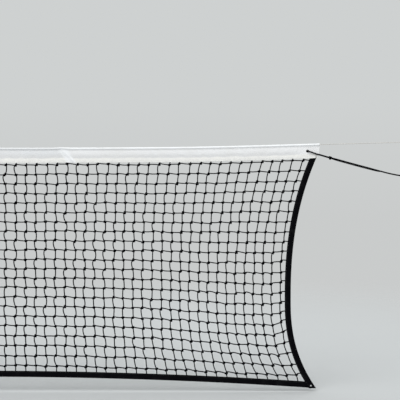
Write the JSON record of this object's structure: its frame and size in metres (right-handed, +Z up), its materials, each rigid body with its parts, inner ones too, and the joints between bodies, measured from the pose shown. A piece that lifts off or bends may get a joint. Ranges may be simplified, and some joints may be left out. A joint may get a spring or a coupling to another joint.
{
  "type": "tennis net",
  "caption": "Small-court tennis net: knotted netting with taped edges, sewn under a white headband that hangs on a taut headline and is drawn out by tie cords.",
  "frame": {"origin": "midway between the two headline eyes, at the height of their holes", "axes": "+X along the net towards the right end, +Y away from a player who faces the front, +Z up"},
  "size_m": [3.8254, 0.0198, 1.0876],
  "materials": {
    "headline": "braided, pale straw colour",
    "crimp_metal": "pressed, satin",
    "zinc": "zinc plated",
    "headband": "white woven polyester",
    "white_thread": "twisted sewing thread",
    "netting": "black twisted twine, knotted",
    "tape": "black woven tape",
    "black_thread": "twisted sewing thread",
    "eyelet": "blackened",
    "tie_cord": "black braided cord"
  },
  "bodies": {
    "headline": {"headline": "headline", "left_ferrule": "crimp_metal", "right_ferrule": "crimp_metal", "left_thimble": "zinc", "right_thimble": "zinc"},
    "headband": {"headband": "headband", "channel_stitching": "white_thread", "hem_stitching": "white_thread", "upper_left_eyelet": "eyelet", "upper_right_eyelet": "eyelet", "upper_left_washer": "eyelet", "upper_right_washer": "eyelet"},
    "netting": {"netting": "netting", "left_side_tape": "tape", "right_side_tape": "tape", "bottom_tape": "tape", "left_tape_stitching": "black_thread", "right_tape_stitching": "black_thread", "bottom_tape_stitching": "black_thread", "lower_left_eyelet": "eyelet", "lower_right_eyelet": "eyelet", "lower_left_washer": "eyelet", "lower_right_washer": "eyelet"},
    "left_tie": {"left_tie": "tie_cord"},
    "right_tie": {"right_tie": "tie_cord"}
  },
  "joints": [
    {"name": "headband_slide", "type": "slide", "parent": "headline", "child": "headband", "axis": [1, 0, 0], "range_m": [-0.06, 0.06]},
    {"name": "netting_swing", "type": "hinge", "parent": "headband", "child": "netting", "pos_m": [0, 0, -0.083], "axis": [1, 0, 0], "range_deg": [-35, 35]},
    {"name": "left_tie_swing", "type": "hinge", "parent": "headband", "child": "left_tie", "pos_m": [-1.444, 0, -0.04], "axis": [0, 1, 0], "range_deg": [-18, 14]},
    {"name": "right_tie_swing", "type": "hinge", "parent": "headband", "child": "right_tie", "pos_m": [1.444, 0, -0.04], "axis": [0, 1, 0], "range_deg": [-14, 18]}
  ]
}
